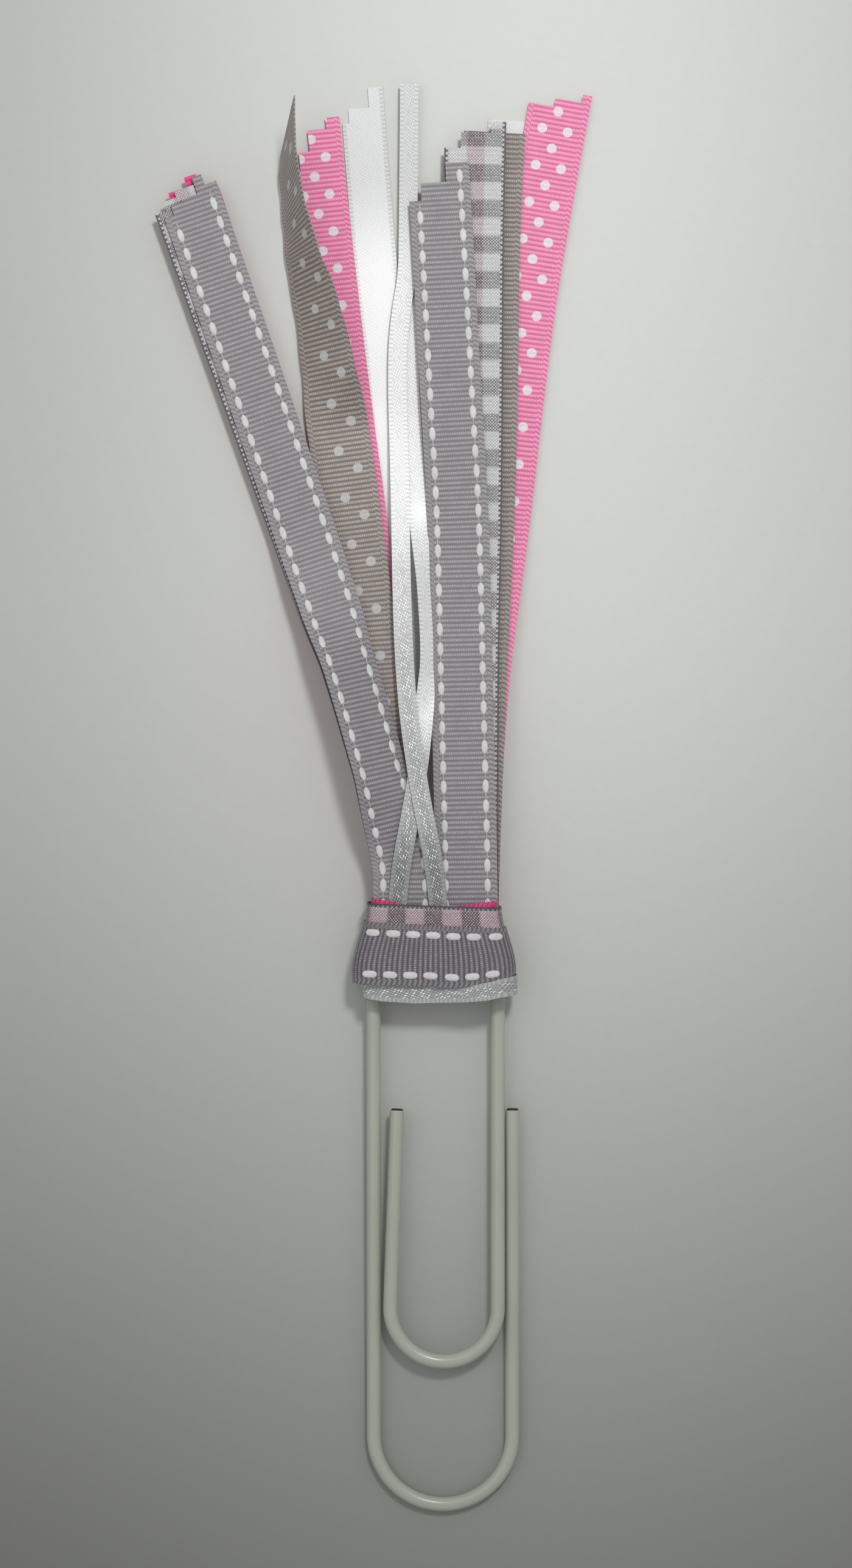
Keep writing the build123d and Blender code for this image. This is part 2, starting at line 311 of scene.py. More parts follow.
class Shader:
    """A material being built: each call adds a node and gives its output."""

    def __init__(self, name):
        self.material = bpy.data.materials.new(name)
        self.material.use_nodes = True
        self.tree = self.material.node_tree
        self.surface = self.tree.nodes["Principled BSDF"]

    def feed(self, socket, value):
        if isinstance(value, bpy.types.NodeSocket):
            self.tree.links.new(value, socket)
        else:
            socket.default_value = value

    def set(self, **values):
        for name, value in values.items():
            self.feed(self.surface.inputs[name.replace("_", " ")], value)

    def math(self, operation, a, b=0.0, c=0.0):
        node = self.tree.nodes.new("ShaderNodeMath")
        node.operation = operation
        for socket, value in zip(node.inputs, (a, b, c)):
            self.feed(socket, value)
        return node.outputs[0]

    def weave(self):
        """Millimetres across the ribbon and along it."""
        uv = self.tree.nodes.new("ShaderNodeUVMap")
        uv.uv_map = WEAVE_UV
        split = self.tree.nodes.new("ShaderNodeSeparateXYZ")
        self.tree.links.new(uv.outputs[0], split.inputs[0])
        return split.outputs[0], split.outputs[1]

    def edge(self, u, width):
        """Distance from the nearer edge of the ribbon."""
        return self.math("MINIMUM", u, self.math("SUBTRACT", width, u))

    def cells(self, a, b):
        """One random value for each whole cell of two coordinates."""
        cell = self.join(self.math("FLOOR", a), self.math("FLOOR", b))
        noise = self.tree.nodes.new("ShaderNodeTexWhiteNoise")
        noise.noise_dimensions = "2D"
        self.tree.links.new(cell, noise.inputs["Vector"])
        return noise.outputs["Value"]

    def noise(self, scale, detail=3.0, coordinates=None):
        node = self.tree.nodes.new("ShaderNodeTexNoise")
        if coordinates is None:
            place = self.tree.nodes.new("ShaderNodeTexCoord")
            coordinates = place.outputs["Object"]
        self.tree.links.new(coordinates, node.inputs["Vector"])
        node.inputs["Scale"].default_value = scale
        node.inputs["Detail"].default_value = detail
        return node.outputs[0]

    def join(self, u, v):
        joined = self.tree.nodes.new("ShaderNodeCombineXYZ")
        self.feed(joined.inputs[0], u)
        self.feed(joined.inputs[1], v)
        return joined.outputs[0]

    def ramp(self, value, low, high, out_low=0.0, out_high=1.0):
        node = self.tree.nodes.new("ShaderNodeMapRange")
        node.interpolation_type = "SMOOTHSTEP"
        for socket, given in zip(node.inputs, (value, low, high, out_low, out_high)):
            self.feed(socket, given)
        return node.outputs[0]

    def mix(self, factor, a, b):
        node = self.tree.nodes.new("ShaderNodeMix")
        node.data_type = "RGBA"
        self.feed(node.inputs[0], factor)
        self.feed(node.inputs[MIX_A], a)
        self.feed(node.inputs[MIX_B], b)
        return node.outputs[MIX_OUT]

    def shade(self, colour, factor):
        """A colour times a brightness."""
        node = self.tree.nodes.new("ShaderNodeVectorMath")
        node.operation = "SCALE"
        self.feed(node.inputs[0], colour if isinstance(colour, bpy.types.NodeSocket) else colour[:3])
        self.feed(node.inputs["Scale"], factor)
        return node.outputs[0]

    def wave(self, value, pitch):
        """A cosine of that pitch, from 0 to 1."""
        turn = self.math("COSINE", self.math("MULTIPLY", value, 2 * math.pi / pitch))
        return self.math("MULTIPLY_ADD", turn, 0.5, 0.5)

    def bump(self, height, distance, strength):
        node = self.tree.nodes.new("ShaderNodeBump")
        node.inputs["Strength"].default_value = strength
        node.inputs["Distance"].default_value = distance
        self.tree.links.new(height, node.inputs["Height"])
        self.set(Normal=node.outputs[0])


def dot_mask(shader, u, v, lattice, radius):
    """Round dots: lattice is a list of (place across, first place along, repeat along)."""
    mask = 0.0
    for across, first, repeat in lattice:
        du = shader.math("SUBTRACT", u, across)
        dv = shader.math("WRAP", shader.math("SUBTRACT", v, first), repeat / 2, -repeat / 2)
        square = shader.math("ADD", shader.math("MULTIPLY", du, du), shader.math("MULTIPLY", dv, dv))
        one = shader.ramp(shader.math("SQRT", square), radius + DOT_BLUR, radius - DOT_BLUR)
        mask = shader.math("MAXIMUM", one, mask)
    return mask


def grosgrain(name, groove_shade, rib, glint, dots=None, dot_colour=None):
    """Ribbed ribbon: a row of painted glints on each rib's crest, painted shade in the grooves between
    ribs, a tight edge, and printed dots.
    """
    shader = Shader(name)
    u, v = shader.weave()
    crest = shader.wave(v, RIB_PITCH)
    row = shader.math("MULTIPLY_ADD", v, 1 / RIB_PITCH, 0.5)
    stagger = shader.math("MULTIPLY", shader.math("FLOOR", row), 0.5)
    leaning = shader.math("MULTIPLY_ADD", v, THREAD_LEAN, u)
    thread = shader.math("MULTIPLY_ADD", leaning, 1 / THREAD_PITCH, stagger)
    fleck = shader.cells(shader.math("ADD", thread, 0.5), row)
    dash = shader.math("MULTIPLY", shader.ramp(shader.wave(thread, 1.0), *DASH_ACROSS),
                       shader.ramp(crest, *DASH_ALONG))
    selvedge = shader.math("LESS_THAN", shader.edge(u, WIDE), SELVEDGE)
    braid = shader.wave(shader.math("MULTIPLY_ADD", u, 0.5, v), RIB_PITCH)
    relief = shader.math("ADD", shader.math("MULTIPLY", selvedge, braid),
                         shader.math("MULTIPLY", shader.math("SUBTRACT", 1.0, selvedge), crest))
    inner = shader.math("MULTIPLY_ADD", selvedge, SELVEDGE_SPARK - 1, 1.0)
    bright = shader.math("MULTIPLY_ADD", fleck, 1 - FLECK_LOW, FLECK_LOW)
    spark = shader.math("MULTIPLY", dash, bright)
    # The selvedge knots are tinted a fifth of the way towards the glint colour: painted highlight.
    knot = shader.mix(KNOT_LIGHT, rib, glint)
    # The grooves between the ribs take a darker colour than the crests: painted shade.
    body = shader.mix(shader.ramp(relief, 0.0, GROOVE_RISE), groove_shade, shader.mix(selvedge, rib, knot))
    # Leaning dashes of the glint colour on each crest: painted highlight.
    cloth = shader.mix(shader.math("MULTIPLY", spark, inner), body, glint)
    wander = shader.noise(WANDER_SCALE, 2.0, shader.join(u, v))
    cloth = shader.shade(cloth, shader.math("MULTIPLY_ADD", wander, WANDER_SPAN, WANDER_LOW))
    if dots:
        # The printed dots are a little darker in the grooves: painted shade.
        ink = shader.shade(dot_colour, shader.math("MULTIPLY_ADD", relief, INK_SPAN, INK_LOW))
        cloth = shader.mix(dot_mask(shader, u, v, dots, DOT_R), cloth, ink)
    shader.set(Base_Color=cloth, Roughness=0.55, Sheen_Weight=0.12, Sheen_Roughness=0.4)
    shader.bump(shader.math("ADD", spark, shader.math("MULTIPLY", braid, selvedge)), THREAD_BUMP, 0.5)
    return shader.material


def gingham(name, shift, tones, check_long=CHECK, shift_along=0.0):
    """Checked ribbon: pink and white stripes crossed by pale and dark ones, with painted glints on the
    thread knots and painted shade between them.

    tones are the pale and dark checks of the white stripes and of the pink ones, and both rim colours.
    """
    shader = Shader(name)
    u, v = shader.weave()
    place = shader.math("FLOORED_MODULO", shader.math("ADD", u, shift), 2 * CHECK)
    border = (CHECK / 2 - CHECK_BLUR, CHECK / 2 + CHECK_BLUR)
    pink_stripe = shader.ramp(shader.math("PINGPONG", place, CHECK), *border)
    long_way = shader.math("DIVIDE", shader.math("ADD", v, shift_along), check_long)
    blur = CHECK_BLUR / CHECK
    dark_stripe = shader.ramp(shader.math("PINGPONG", long_way, 1.0), 0.5 - blur, 0.5 + blur)
    white_pale, white_dark, pink_pale, pink_dark, rim_dark, rim_pale = [srgb(code) for code in tones]
    on_white = shader.mix(dark_stripe, white_pale, white_dark)
    on_pink = shader.mix(dark_stripe, pink_pale, pink_dark)
    ground = shader.mix(pink_stripe, on_white, on_pink)
    rising = shader.math("DIVIDE", shader.math("ADD", u, v), CHECK_LATTICE)
    falling = shader.math("DIVIDE", shader.math("SUBTRACT", u, v), CHECK_LATTICE)
    knots = shader.math("MULTIPLY", shader.wave(rising, 1.0), shader.wave(falling, 1.0))
    fleck = shader.cells(shader.math("ADD", rising, 0.5), shader.math("ADD", falling, 0.5))
    bright = shader.math("MULTIPLY_ADD", fleck, *GRID_FLECK)
    spark = shader.math("MULTIPLY", shader.ramp(knots, *GRID_SHINE), bright)
    # Painted glints in a pale colour on the knots, over a ground with painted shade between them.
    cloth = shader.mix(spark, shader.shade(ground, shader.ramp(knots, *GRID_SHADE)), srgb("F1F0EE"))
    edge = shader.edge(u, WIDE)
    dash = shader.math("MULTIPLY", shader.ramp(shader.wave(v, RIB_PITCH), *RIM_DASH),
                       shader.ramp(edge, *RIM_OUTER))
    rim = shader.mix(dash, rim_dark, rim_pale)
    shader.set(Base_Color=shader.mix(shader.ramp(edge, *CHECK_RIM), cloth, rim), Roughness=0.42,
               Sheen_Weight=0.12, Sheen_Roughness=0.3)
    shader.bump(knots, THREAD_BUMP, 0.5)
    return shader.material


def satin(name, width, ground, run=PAINTED_LIGHT_RUN, folded=False):
    """White satin: long floats in steep slanting lines, with painted glints on them.

    Near the hitch, in the fold and towards the cut end, fewer floats carry painted glints and the ground
    has painted shade. run is where along it the painted light rises.
    """
    shader = Shader(name)
    u, v = shader.weave()
    line = shader.math("DIVIDE", shader.math("MULTIPLY_ADD", v, FLOAT_LEAN, u), FLOAT_WIDE)
    step = shader.math("MULTIPLY", shader.math("FLOOR", line), FLOAT_STEP)
    place = shader.math("ADD", shader.math("DIVIDE", v, FLOAT_LONG), step)
    fleck = shader.cells(line, place)
    round_across = shader.wave(shader.math("ADD", line, 0.5), 1.0)
    round_along = shader.wave(shader.math("ADD", place, 0.5), 1.0)
    bulge = shader.math("MULTIPLY", shader.ramp(round_across, *BULGE_ACROSS),
                        shader.ramp(round_along, *BULGE_ALONG))
    # How much painted light the satin gets: low near the hitch, full further along, and a fixed low
    # level in the fold.
    if folded:
        lit = FOLD_LIT
    else:
        lit = shader.ramp(v, *run, shader.ramp(v, *NEAR_RUN, 0.0, NEAR_LIT))
    # Fewer floats carry a painted glint where the painted light is low.
    shaded_float_share = shader.math("MULTIPLY_ADD", lit, -PAINTED_SHADE_SHARE, PAINTED_SHADE_SHARE)
    caught = shader.ramp(fleck, shaded_float_share, shader.math("ADD", shaded_float_share, CATCH_SPAN), CATCH_LOW, 1.0)
    spark = shader.math("MULTIPLY", bulge, caught)
    painted_light_level = shader.math("MULTIPLY_ADD", lit, 1 - PAINTED_SHADE_LEVEL, PAINTED_SHADE_LEVEL)
    # White painted glints on the floats, over a ground darkened by painted shade.
    cloth = shader.mix(spark, shader.shade(srgb(ground), painted_light_level), srgb("FFFFFF"))
    edge = shader.edge(u, width)
    knots = shader.wave(v, FLOAT_LONG)
    # The picot rim keeps its own light and dark knots, darkened a little less by the same painted shade.
    rim_painted_light_level = shader.math("MULTIPLY_ADD", painted_light_level, 1 - RIM_LIT, RIM_LIT)
    rim = shader.shade(shader.mix(knots, srgb("CFD0CD"), srgb("F4F5F3")), rim_painted_light_level)
    cloth = shader.mix(shader.ramp(edge, SATIN_RIM + RIM_BLUR, SATIN_RIM - RIM_BLUR), cloth, rim)
    # Painted shade towards the cut end.
    shader.set(Base_Color=shader.shade(cloth, shader.ramp(v, *END_SHADE_RUN, 1.0, END_SHADE_LEVEL)), Roughness=0.38,
               Specular_IOR_Level=0.9)
    shader.bump(bulge, FLOAT_BUMP, 0.3)
    return shader.material


def yarn(name, shade, light):
    """Soft stitching thread, flecked with two tones."""
    shader = Shader(name)
    tint = shader.mix(shader.noise(YARN_TINT_SCALE), srgb(shade), srgb(light))
    shader.set(Base_Color=tint, Roughness=0.7, Sheen_Weight=0.3)
    shader.bump(shader.noise(YARN_FUZZ_SCALE, 2.0), YARN_BUMP, 0.6)
    return shader.material


def vinyl(name):
    """Off-white dipped coating: satin gloss, faint orange peel, slightly less glossy in places."""
    shader = Shader(name)
    tint = shader.mix(shader.noise(VINYL_TINT_SCALE), srgb("A4A799"), srgb("B5B8AA"))
    gloss = shader.math("MULTIPLY_ADD", shader.noise(VINYL_GLOSS_SCALE), 0.2, 0.2)
    shader.set(Base_Color=tint, Roughness=gloss, Coat_Weight=0.25, Coat_Roughness=0.25)
    shader.bump(shader.noise(PEEL_SCALE, 2.0), PEEL_BUMP, 0.25)
    return shader.material


def cut_steel(name):
    """Dark sheared steel at the wire's cut ends."""
    shader = Shader(name)
    tint = shader.mix(shader.noise(STEEL_TINT_SCALE), srgb("2B2320"), srgb("5A4C45"))
    gloss = shader.math("MULTIPLY_ADD", shader.noise(STEEL_GLOSS_SCALE), 0.3, 0.3)
    shader.set(Base_Color=tint, Metallic=0.85, Roughness=gloss)
    return shader.material


def paper(name):
    """Pale sheet under the object, with a painted falloff of the light: darker towards the near end and
    both sides.
    """
    shader = Shader(name)
    place = shader.tree.nodes.new("ShaderNodeTexCoord")
    split = shader.tree.nodes.new("ShaderNodeSeparateXYZ")
    shader.tree.links.new(place.outputs["Object"], split.inputs[0])
    far = shader.ramp(split.outputs[1], *PAPER_FAR)
    left = shader.ramp(split.outputs[0], *PAPER_LEFT, PAPER_LEFT_SHADE, 1.0)
    right = shader.ramp(split.outputs[0], *PAPER_RIGHT, 1.0, PAPER_RIGHT_SHADE)
    sides = shader.math("MULTIPLY", left, right)
    grain = shader.math("MULTIPLY_ADD", shader.noise(PAPER_GRAIN_SCALE), 0.05, 0.97)
    # Darker towards the near end: painted shade.
    sheet = shader.mix(far, srgb("7F807A"), srgb("D4D5CF"))
    shader.set(Base_Color=shader.shade(sheet, shader.math("MULTIPLY", grain, sides)), Roughness=0.85)
    return shader.material


PINK_DOTS = [(5.0, 3.05, 6.1), (2.9, 0.0, 6.1), (7.1, 0.0, 6.1)]
TAUPE_DOTS = [(4.6, 1.55, 7.7), (7.3, 6.1, 7.7)]
# Rib colours: painted shade in the grooves, the rib itself, and the painted glint on its crest.
GREY_RIBS = (srgb("746F73"), srgb("8B8789"), srgb("BAB4B6"))
# Darker copy of the grey ribs for the band across the hitch: painted shade.
GREY_SHADED_FOLD_RIBS = (srgb("565054"), srgb("6E686E"), srgb("B2ABAE"))
TAUPE_RIBS = (srgb("6A5F59"), srgb("8C827B"), srgb("C0B6AF"))
TAUPE_PRINT_RIBS = (srgb("736862"), srgb("968C85"), srgb("CAC0B9"))
PINK_RIBS = (srgb("D0608F"), srgb("EA86AC"), srgb("FAB2CB"))
DEEP_PINK_RIBS = (srgb("B81F5E"), srgb("D8317A"), srgb("EE6A9F"))
GREY_CLOTH = grosgrain("grey_grosgrain", *GREY_RIBS)
GREY_SHADED_FOLD = grosgrain("grey_grosgrain_fold_shaded", *GREY_SHADED_FOLD_RIBS)
TAUPE_CLOTH = grosgrain("taupe_grosgrain", *TAUPE_RIBS)
TAUPE_PRINT = grosgrain("taupe_grosgrain_dotted", *TAUPE_PRINT_RIBS, TAUPE_DOTS, srgb("BCBBB9"))
PINK_CLOTH = grosgrain("pink_grosgrain", *PINK_RIBS)
PINK_PRINT = grosgrain("pink_grosgrain_dotted", *PINK_RIBS, PINK_DOTS, srgb("E6D8DD"))
DEEP_PINK_CLOTH = grosgrain("deep_pink_weave", *DEEP_PINK_RIBS)
# The thin satin's ground is darker than the wide satin's white: painted shade.
THIN_SHADED_GROUND = "D6D7D4"
GINGHAM_TONES = ("BBBCBA", "807E7E", "A89A9E", "5F4C54", "4B4549", "BFBDBC")
# Mostly darker tones for the gingham band across the hitch: painted shade. Its checks are also laid out
# at their own size.
GINGHAM_SHADED_FOLD_TONES = ("A9A3A4", "7A7476", "A58D93", "624E56", "4A4246", "8E8488")
GINGHAM_CLOTH = gingham("gingham_weave", CHECK_SHIFT, GINGHAM_TONES)
GINGHAM_SHADED_FOLD = gingham("gingham_weave_fold_shaded", CHECK_SHIFT + CHECK, GINGHAM_SHADED_FOLD_TONES, FOLD_CHECK,
                       FOLD_CHECK_SHIFT)
SATIN_CLOTH = satin("white_satin", SATIN_WIDE, "F2F3F1")
THIN_SATIN_CLOTH = satin("white_satin_thin", THIN_WIDE, THIN_SHADED_GROUND)
# A copy for the thin satin's left tail, whose painted light rises nearer the hitch.
THIN_SATIN_LIT = satin("white_satin_thin_lit", THIN_WIDE, THIN_SHADED_GROUND, LIT_RUN)
# The thin satin in the band keeps a low fixed level of painted light: painted shade over the whole fold.
THIN_SATIN_SHADED_FOLD = satin("white_satin_thin_fold_shaded", THIN_WIDE, THIN_SHADED_GROUND, folded=True)
STITCH_YARN = yarn("stitch_yarn", "BEBDBC", "E2E1DE")
# The thread between the stitches is the same yarn in darker tones: painted shade where it sinks among
# the ribs.
SHADED_THREAD_YARN = yarn("thread_yarn_shaded", "9A9697", "B3AFB0")
VINYL_COAT = vinyl("white_coating")
CUT_STEEL = cut_steel("steel_core")

CLOTHS = {
    "grey": (GREY_CLOTH, GREY_CLOTH),
    "gingham": (GINGHAM_CLOTH, GINGHAM_CLOTH),
    "deep_pink": (DEEP_PINK_CLOTH, DEEP_PINK_CLOTH),
    "taupe": (TAUPE_PRINT, TAUPE_CLOTH),
    "pink": (PINK_PRINT, PINK_CLOTH),
    "satin": (SATIN_CLOTH, SATIN_CLOTH),
    "thin_satin": (THIN_SATIN_CLOTH, THIN_SATIN_CLOTH),
}
# The thin satin's left tail takes the copy whose painted light rises nearer the hitch.
LIT_TAILS = {("thin_satin", "left"): (THIN_SATIN_LIT, THIN_SATIN_LIT)}
# Darker copies of the cloth for the bands across the hitch: painted shade.
SHADED_FOLD_FACES = {"grey": GREY_SHADED_FOLD, "gingham": GINGHAM_SHADED_FOLD, "thin_satin": THIN_SATIN_SHADED_FOLD}


# Cloth meshes


def mesh_object(name, points, faces, materials):
    """A smooth-shaded object from points in millimetres."""
    mesh = bpy.data.meshes.new(name)
    mesh.from_pydata((np.asarray(points) * MM).tolist(), [], faces)
    for material in materials:
        mesh.materials.append(material)
    mesh.polygons.foreach_set("use_smooth", np.ones(len(faces), bool))
    made = bpy.data.objects.new(name, mesh)
    link(made)
    return made


def surface_normals(surface):
    """Unit normals of a grid whose columns run to the right and rows away from the viewer."""
    across = np.gradient(surface, axis=1)
    along = np.gradient(surface, axis=0)
    return unit(np.cross(across, along))


def cloth_object(name, surface, uv, thickness, relief, keep, materials):
    """A closed sheet of cloth round a grid of points. keep says which cells of the grid are cloth."""
    rows, columns = surface.shape[:2]
    normals = surface_normals(surface)
    lift = (thickness / 2 + relief)[..., None]
    sheets = [surface + normals * lift, surface - normals * lift]
    points = np.concatenate([sheet.reshape(-1, 3) for sheet in sheets])
    under = rows * columns
    row, column = np.nonzero(keep)
    a = row * columns + column
    b, c, d = a + 1, a + columns + 1, a + columns
    top = np.stack([a, b, c, d], axis=1)
    bottom = np.stack([a, d, c, b], axis=1) + under
    padded = np.pad(keep, 1)
    edges = [
        (padded[1:-1, :-2], a, d),
        (padded[1:-1, 2:], c, b),
        (padded[:-2, 1:-1], b, a),
        (padded[2:, 1:-1], d, c),
    ]
    walls = []
    for neighbour, start, stop in edges:
        free = ~neighbour[row, column]
        walls.append(np.stack([start, stop, stop + under, start + under], axis=1)[free])
    faces = np.concatenate([top, bottom, *walls])
    used, numbered = np.unique(faces, return_inverse=True)
    numbered = numbered.reshape(faces.shape)
    made = mesh_object(name, points[used], numbered.tolist(), materials)
    mesh = made.data
    layer = mesh.uv_layers.new(name=WEAVE_UV)
    flat_uv = np.concatenate([uv.reshape(-1, 2)] * 2)[used]
    layer.data.foreach_set("uv", flat_uv[numbered.reshape(-1)].astype(np.float32).reshape(-1))
    sides = np.zeros(len(faces), np.int32)
    sides[len(top):] = 1
    mesh.polygons.foreach_set("material_index", sides)
    mesh.set_sharp_from_angle(angle=SHARP_ANGLE)
    mesh.validate()
    return made


def across_places(width, shares=()):
    """Places across a ribbon: close together at its edges, with its end's corners among them."""
    near_edge = np.array([*EDGE_PLACES, SELVEDGE])
    columns = COLUMNS if width > THIN_WIDE else THIN_COLUMNS
    margin = SELVEDGE + COLUMN_GAP
    inside = [x for x in np.linspace(0, width, columns + 1) if margin < x < width - margin]
    corners = width * np.array(shares)
    return np.unique(np.round([*near_edge, *inside, *(width - near_edge), *corners], 4))


def grid_uv(across, along):
    """Millimetres across and along at each point of a grid."""
    return np.stack(np.broadcast_arrays(across[None, :], along[:, None]), axis=-1)


def rib_relief(along, across, width):
    """Crests of the ribs over a grid, lower in the tight edge."""
    edge = np.minimum(across, width - across)
    strength = np.where(edge < SELVEDGE, SELVEDGE_RIB, 1.0)
    crest = np.cos(2 * math.pi * along / RIB_PITCH)
    return crest[:, None] * strength[None, :] * RIB_HEIGHT / 4 - RIB_HEIGHT / 4


def nurbs_line(route):
    """Points along the smooth curve that has the route's points as its control points."""
    curve = bpy.data.curves.new("route", "CURVE")
    curve.dimensions = "3D"
    spline = curve.splines.new("NURBS")
    spline.points.add(len(route) - 1)
    for point, place in zip(spline.points, route):
        point.co = (*place, 0.0, 1.0)
    spline.order_u = 3
    spline.use_endpoint_u = True
    spline.resolution_u = ROUTE_RESOLUTION
    holder = bpy.data.objects.new("route", curve)
    link(holder)
    mesh = bpy.data.meshes.new_from_object(holder)
    line = np.array([vertex.co[:2] for vertex in mesh.vertices])
    bpy.data.objects.remove(holder)
    bpy.data.curves.remove(curve)
    bpy.data.meshes.remove(mesh)
    return line


def walk(line, step):
    """A line's points at even steps, and their distance along it."""
    run = distances(line)
    along = np.linspace(0.0, run[-1], math.ceil(run[-1] / step) + 1)
    places = [np.interp(along, run, line[:, i]) for i in range(line.shape[1])]
    return np.stack(places, axis=1), along


@dataclass
class Tail:
    """One half of a ribbon, from under the hitch to its cut end.

    reach is how far the longest tooth goes past the route, and each of ends is (share of the width at
    which a tooth stops, how much shorter than the longest it is). slant is how much shorter the left
    edge is than the right one. rolls are (y, degrees) and lifts are (y, height above the stack's lie).
    """

    ribbon: str
    place: str
    level: int
    fold_y: float
    neck_x: float
    route: list
    width: float = WIDE
    thickness: float = RIBBON_T
    reach: float = 0.0
    ends: list = field(default_factory=lambda: [(1.0, 0.0)])
    slant: float = 0.0
    rolls: list = field(default_factory=lambda: [(0.0, 0.0)])
    lifts: list = field(default_factory=lambda: [(0.0, 0.0)])
    face_down: bool = False
    print_shift: float = 0.0

    @property
    def ribbed(self):
        return self.ribbon not in NARROW


def eased(pairs, y):
    """Values given at some places along Y, joined by smooth steps."""
    out = np.full_like(y, pairs[0][1])
    for (y0, a), (y1, b) in zip(pairs, pairs[1:]):
        out = np.where(y >= y0, a + (b - a) * smooth((y - y0) / (y1 - y0)), out)
    return out


def tail_frame(tail):
    """Middle line of a tail, its directions to the right and up, and distances along."""
    step = RIB_PITCH / ROWS_PER_RIB if tail.ribbed else SATIN_ROW
    line = nurbs_line([(tail.neck_x, NECK_START_Y), (tail.neck_x, HITCH_EDGE_Y), *tail.route])
    reach = tail.reach + tail.slant / 2
    if reach:
        line = np.vstack([line, line[-1] + unit(line[-1] - line[-2]) * reach])
    plan, along = walk(line, step)
    roll = np.radians(eased(tail.rolls, plan[:, 1]))
    lie = lie_z(tail.level, plan[:, 1])
    z = lie + eased(tail.lifts, plan[:, 1]) + tail.width / 2 * np.abs(np.sin(roll))
    middle = np.column_stack([plan, z])
    tangent = unit(np.gradient(np.column_stack([plan, lie]), axis=0))
    level_side = unit(np.cross(tangent, UP))
    level_up = np.cross(level_side, tangent)
    side = level_side * np.cos(roll)[:, None] + level_up * np.sin(roll)[:, None]
    up = level_up * np.cos(roll)[:, None] - level_side * np.sin(roll)[:, None]
    return middle, side, up, along


def tail_surface(tail):
    """The grid of a tail: rows along it from the hitch, columns from left to right."""
    middle, side, _, along = tail_frame(tail)
    across = across_places(tail.width, [share for share, short in tail.ends])
    offset = across - tail.width / 2
    surface = middle[:, None, :] + side[:, None, :] * offset[None, :, None]
    length = along[-1]
    if tail.slant:
        start = length - SLANT_RUN * tail.slant
        short = tail.slant * (1 - across / tail.width)
        squeeze = np.clip((along - start) / (length - start), 0, 1)[:, None] * short[None, :]
        tangent = np.gradient(middle, axis=0) / np.gradient(along)[:, None]
        surface = surface - tangent[:, None, :] * squeeze[..., None]
    return surface, middle, along, across


def short_by(tail, across):
    """How much shorter than the longest tooth the ribbon is at some places across it."""
    shares, shorts = np.array(tail.ends).T
    return shorts[np.searchsorted(shares * tail.width, across)]


def tail_piece(tail):
    """The cloth of one tail, from under the hitch down to its cut end."""
    surface, middle, along, across = tail_surface(tail)
    length = along[-1]
    cell_middle = (across[:-1] + across[1:]) / 2
    keep = along[1:, None] <= length - short_by(tail, cell_middle)[None, :] + TINY
    uv = grid_uv(across, along + tail.print_shift)
    relief = rib_relief(along, across, tail.width) if tail.ribbed else np.zeros(uv.shape[:2])
    face, back = LIT_TAILS.get((tail.ribbon, tail.place), CLOTHS[tail.ribbon])
    materials = (back, face) if tail.face_down else (face, back)
    name = f"{tail.ribbon}_ribbon_{tail.place}"
    piece = cloth_object(name, surface, uv, tail.thickness, relief, keep, materials)
    bend(piece)
    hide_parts(f"{tail.ribbon}_neck_{tail.place}", f"{tail.ribbon}_tail_{tail.place}")
    return piece, middle, length


def bend(piece):
    """Bakes a piece's place into its mesh."""
    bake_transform(piece)


def bead(long, wide, high, blunt=ROUND_END, segments=10, rings=8):
    """Points and faces of a smooth long bead, its length along the first axis."""
    points = [(-long / 2, 0.0, 0.0)]
    for i in range(1, rings):
        x = -math.cos(math.pi * i / rings)
        radius = math.sqrt(1 - abs(x) ** blunt)
        for j in range(segments):
            turn = 2 * math.pi * j / segments
            across = wide / 2 * radius * math.cos(turn)
            up = high / 2 * radius * math.sin(turn)
            points.append((long / 2 * x, across, up))
    points.append((long / 2, 0.0, 0.0))
    faces = [(0, 1 + (j + 1) % segments, 1 + j) for j in range(segments)]
    for i in range(rings - 2):
        low = 1 + i * segments
        for j in range(segments):
            k = (j + 1) % segments
            faces.append((low + j, low + k, low + segments + k, low + segments + j))
    last = len(points) - 1
    top = last - segments
    faces += [(last, top + j, top + (j + 1) % segments) for j in range(segments)]
    return np.array(points), faces


def stitches(name, shapes, places, alongs, sides, ups):
    """Saddle stitches: beads of the given shapes in turn, one at each place."""
    points = []
    faces = []
    yarns = []
    for i, (place, along, side, up) in enumerate(zip(places, alongs, sides, ups)):
        local, own_faces = bead(*shapes[i % len(shapes)])
        first = len(points)
        axes = np.array([along, side, up])
        points.extend(place + local @ axes)
        faces.extend(tuple(first + k for k in face) for face in own_faces)
        yarns.extend([i % len(shapes)] * len(own_faces))
    # The second shape, the thread between the stitches, takes the darker yarn: painted shade.
    made = mesh_object(name, points, faces, [STITCH_YARN, SHADED_THREAD_YARN][:len(shapes)])
    made.data.polygons.foreach_set("material_index", yarns)
    return made


def tail_stitches(tail):
    """Both stitch rows of a grey tail, with the sunk thread between the stitches."""
    middle, side, up, along = tail_frame(tail)
    centres = np.arange(STITCH_PITCH / 2, along[-1], STITCH_PITCH / 2)
    tangent = unit(np.gradient(middle, axis=0))
    pieces = []
    for k, row in enumerate(STITCH_ROWS):
        last = along[-1] - short_by(tail, row) - STITCH[0] / 2
        wanted = centres[centres < last]
        at = np.clip(np.searchsorted(along, wanted), 0, len(along) - 1)
        places = middle[at] + side[at] * (row - tail.width / 2) + up[at] * (tail.thickness / 2)
        name = f"{tail.ribbon}_stitches_{tail.place}_{k + 1}"
        piece = stitches(name, (STITCH, THREAD), places, tangent[at], side[at], up[at])
        bend(piece)
        pieces.append(piece)
    return pieces


# The tails, from the top of the stack down

